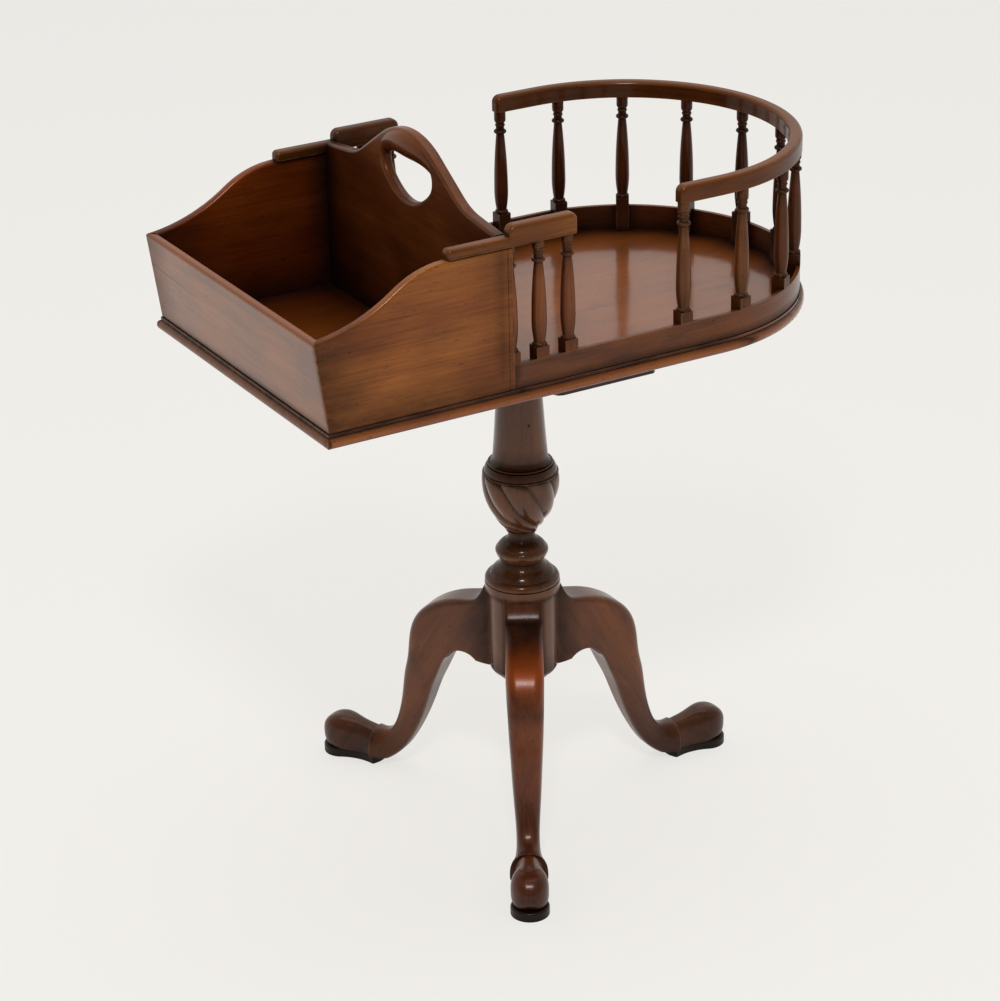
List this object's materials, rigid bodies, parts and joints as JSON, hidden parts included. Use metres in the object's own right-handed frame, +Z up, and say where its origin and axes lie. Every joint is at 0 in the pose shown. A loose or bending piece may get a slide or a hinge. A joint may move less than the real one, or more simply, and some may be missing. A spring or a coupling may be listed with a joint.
{
  "type": "tray top tea table",
  "caption": "Mahogany supper table: a D-shaped tray with a canted cutlery box, an arched handle divider and a spindled plate gallery, on a turned pillar with cabriole legs",
  "frame": {"origin": "on the ground, on the axis of the pillar, under the middle of the tray", "axes": "+Z up; +X along the tray towards its round spindled end; the divider and the end board lie across, along Y; the front is -Y"},
  "size_m": [0.6153, 0.434, 0.753],
  "materials": {
    "mahogany": "old dark mahogany, French polished to a soft gloss",
    "ebonised": "near-black, worn wooden shoe under the foot",
    "iron": "dull dark iron, hidden under the tray"
  },
  "bodies": {
    "root": {"base_board": "mahogany", "end_board": "mahogany", "side_panel_front": "mahogany", "side_panel_back": "mahogany", "divider_board": "mahogany", "cap_rail_front": "mahogany", "cap_rail_back": "mahogany", "gallery_rim": "mahogany", "gallery_rail": "mahogany", "bearer": "mahogany", "pillar": "mahogany", "gallery_spindle_1": "mahogany", "gallery_spindle_2": "mahogany", "gallery_spindle_3": "mahogany", "gallery_spindle_4": "mahogany", "gallery_spindle_5": "mahogany", "gallery_spindle_6": "mahogany", "gallery_spindle_7": "mahogany", "gallery_spindle_8": "mahogany", "gallery_spindle_9": "mahogany", "gallery_spindle_10": "mahogany", "low_spindle_front_1": "mahogany", "low_spindle_front_2": "mahogany", "low_spindle_front_3": "mahogany", "low_spindle_back_1": "mahogany", "low_spindle_back_2": "mahogany", "low_spindle_back_3": "mahogany", "leg_1": "mahogany", "leg_2": "mahogany", "leg_3": "mahogany", "foot_pad_1": "ebonised", "foot_pad_2": "ebonised", "foot_pad_3": "ebonised", "bearer_screws": "iron"}
  },
  "joints": []
}
